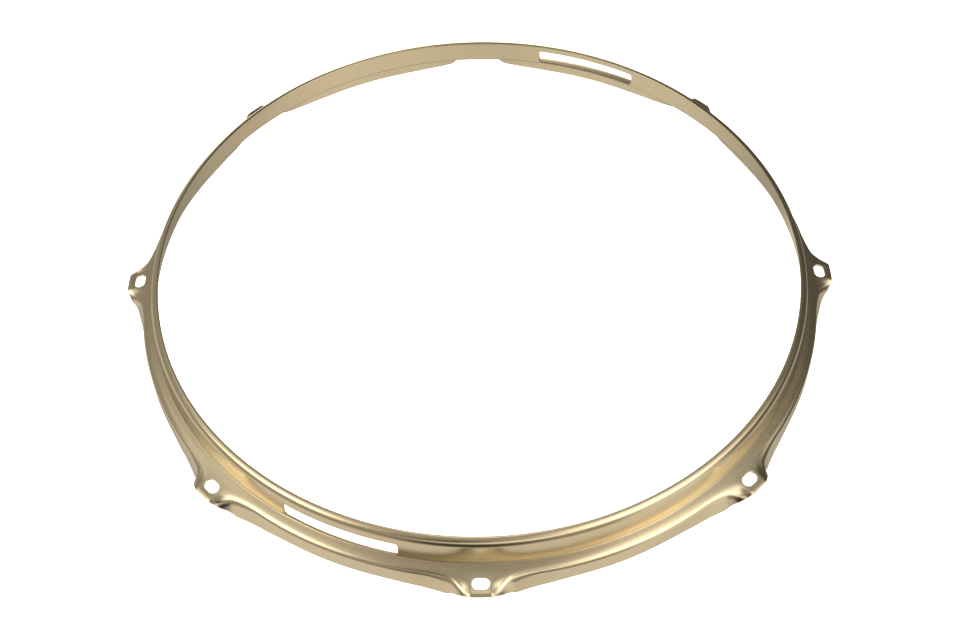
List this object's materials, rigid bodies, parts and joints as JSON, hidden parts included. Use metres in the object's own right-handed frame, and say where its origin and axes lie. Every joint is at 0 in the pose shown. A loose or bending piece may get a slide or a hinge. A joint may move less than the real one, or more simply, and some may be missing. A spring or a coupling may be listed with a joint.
{
  "type": "drum hoop",
  "caption": "Pressed sheet-brass drum hoop with an inward-rolled rim, snare gates in its wall, a sloping shoulder, a hanging skirt and flat ears with oblong holes.",
  "frame": {"origin": "on the hoop's axis, level with the skirt's lower edge", "axes": "+Z along the hoop's axis, from the skirt to the rim; -Y towards the ear nearest the camera"},
  "size_m": [0.3978, 0.3978, 0.0288],
  "materials": {
    "brushed_brass": "satin",
    "ground_brass": "satin, ground flush"
  },
  "bodies": {
    "root": {"hoop_strip": "brushed_brass", "seam_weld": "ground_brass"}
  },
  "joints": []
}
